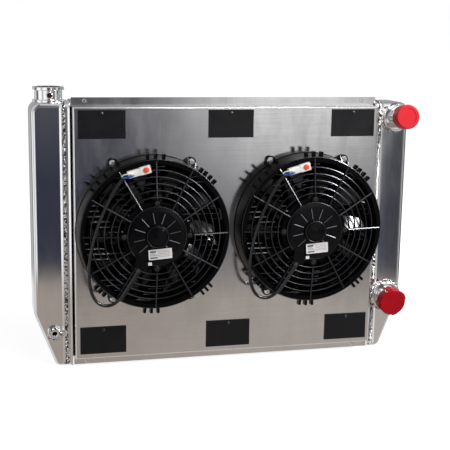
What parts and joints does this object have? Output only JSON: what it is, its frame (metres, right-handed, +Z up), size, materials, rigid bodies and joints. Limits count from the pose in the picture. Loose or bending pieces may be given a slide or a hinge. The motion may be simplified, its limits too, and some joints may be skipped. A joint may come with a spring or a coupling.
{
  "type": "radiator with fan shroud",
  "caption": "Crossflow dual-pass aluminium radiator with end tanks, hose necks, filler neck and a flat shroud carrying electric puller fans and rubber relief flaps.",
  "frame": {"origin": "bottom centre of the whole radiator, on the surface that the tanks' feet stand on", "axes": "+X across the radiator towards the hose-neck tank, +Y away from the fans through the core, +Z up"},
  "size_m": [0.6984, 0.1668, 0.4993],
  "materials": {
    "armature_steel": "laminated",
    "bearing_steel": "ground",
    "black_fasteners": "black",
    "card_plastic": "phenolic",
    "channel_aluminium": "mill finish",
    "connector_plastic": "moulded nylon",
    "copper": "enamelled copper",
    "dark_red_cap_plastic": "moulded, semi-gloss",
    "end_cap_paint": "satin black",
    "fin_aluminium": "thin louvred strip",
    "flap_rubber": "matt sheet rubber",
    "frame_plastic": "moulded glass-filled nylon, semi-gloss",
    "grommet_rubber": "moulded",
    "header_aluminium": "bright rolled edge",
    "label_film": "printed film, blank",
    "lead_sleeve": "smooth sleeve",
    "machined_aluminium": "turned, bright",
    "magnet_ferrite": "sintered",
    "motor_case_paint": "satin black",
    "plug_plastic": "moulded",
    "red_cap_plastic": "moulded, semi-gloss",
    "rotor_plastic": "moulded, glossy",
    "screw_steel": "zinc plated",
    "shroud_aluminium": "brushed along the width",
    "tank_aluminium": "mill finish with a fine satin grain",
    "tube_aluminium": "brazed, dull bright",
    "weld_aluminium": "overlapping ripples of a hand weld"
  },
  "bodies": {
    "root": {"bottom_channel": "channel_aluminium", "core_fins": "fin_aluminium", "core_tubes_front_row": "tube_aluminium", "core_tubes_rear_row": "tube_aluminium", "drain_bung": "machined_aluminium", "fan_mount_screws": "screw_steel", "fan_shroud_panel": "shroud_aluminium", "filler_neck": "machined_aluminium", "flap_rivets": "black_fasteners", "flap_top_strips": "flap_rubber", "left_fan_frame": "frame_plastic", "left_fan_lead": "lead_sleeve", "left_header": "header_aluminium", "left_lead_connector": "connector_plastic", "left_lead_grommet": "grommet_rubber", "left_motor_bearings": "bearing_steel", "left_motor_brush_card": "card_plastic", "left_motor_case": "motor_case_paint", "left_motor_end_cap": "end_cap_paint", "left_motor_magnets": "magnet_ferrite", "left_tank": "tank_aluminium", "lower_hose_neck": "tank_aluminium", "motor_labels": "label_film", "motor_screws": "black_fasteners", "right_fan_frame": "frame_plastic", "right_fan_lead": "lead_sleeve", "right_header": "header_aluminium", "right_lead_connector": "connector_plastic", "right_lead_grommet": "grommet_rubber", "right_motor_bearings": "bearing_steel", "right_motor_brush_card": "card_plastic", "right_motor_case": "motor_case_paint", "right_motor_end_cap": "end_cap_paint", "right_motor_magnets": "magnet_ferrite", "right_tank": "tank_aluminium", "right_tank_baffle": "tank_aluminium", "shroud_screws": "screw_steel", "top_channel": "channel_aluminium", "upper_hose_neck": "tank_aluminium", "weld_beads": "weld_aluminium"},
    "left_rotor": {"left_motor_armature": "armature_steel", "left_motor_windings": "copper", "left_motor_commutator": "copper", "left_motor_shaft": "bearing_steel", "left_fan_rotor": "rotor_plastic"},
    "right_rotor": {"right_motor_armature": "armature_steel", "right_motor_windings": "copper", "right_motor_commutator": "copper", "right_motor_shaft": "bearing_steel", "right_fan_rotor": "rotor_plastic"},
    "flap_1": {"flap_1": "flap_rubber"},
    "flap_2": {"flap_2": "flap_rubber"},
    "flap_3": {"flap_3": "flap_rubber"},
    "flap_4": {"flap_4": "flap_rubber"},
    "flap_5": {"flap_5": "flap_rubber"},
    "flap_6": {"flap_6": "flap_rubber"},
    "upper_cap": {"upper_cap": "red_cap_plastic"},
    "lower_cap": {"lower_cap": "dark_red_cap_plastic"},
    "overflow_plug": {"overflow_plug": "plug_plastic"}
  },
  "joints": [
    {"name": "left_fan_spin", "type": "hinge", "parent": "root", "child": "left_rotor", "pos_m": [-0.1425, -0.04645, 0.2506], "axis": [0, -1, 0], "continuous": true},
    {"name": "right_fan_spin", "type": "hinge", "parent": "root", "child": "right_rotor", "pos_m": [0.1425, -0.04645, 0.2506], "axis": [0, -1, 0], "continuous": true},
    {"name": "flap_1_swing", "type": "hinge", "parent": "root", "child": "flap_1", "pos_m": [-0.2296, -0.01945, 0.4517], "axis": [-1, 0, 0], "range_deg": [0, 75]},
    {"name": "flap_2_swing", "type": "hinge", "parent": "root", "child": "flap_2", "pos_m": [0, -0.01945, 0.4517], "axis": [-1, 0, 0], "range_deg": [0, 75]},
    {"name": "flap_3_swing", "type": "hinge", "parent": "root", "child": "flap_3", "pos_m": [0.2296, -0.01945, 0.4517], "axis": [-1, 0, 0], "range_deg": [0, 75]},
    {"name": "flap_4_swing", "type": "hinge", "parent": "root", "child": "flap_4", "pos_m": [-0.2296, -0.01945, 0.0662], "axis": [-1, 0, 0], "range_deg": [0, 75]},
    {"name": "flap_5_swing", "type": "hinge", "parent": "root", "child": "flap_5", "pos_m": [0, -0.01945, 0.0662], "axis": [-1, 0, 0], "range_deg": [0, 75]},
    {"name": "flap_6_swing", "type": "hinge", "parent": "root", "child": "flap_6", "pos_m": [0.2296, -0.01945, 0.0662], "axis": [-1, 0, 0], "range_deg": [0, 75]},
    {"name": "upper_cap_pull", "type": "slide", "parent": "root", "child": "upper_cap", "axis": [0, -0.9925, 0.1219], "range_m": [0, 0.1]},
    {"name": "lower_cap_pull", "type": "slide", "parent": "root", "child": "lower_cap", "axis": [0, -0.9925, -0.1219], "range_m": [0, 0.1]},
    {"name": "overflow_plug_pull", "type": "slide", "parent": "root", "child": "overflow_plug", "axis": [0, -1, 0], "range_m": [0, 0.03]}
  ]
}
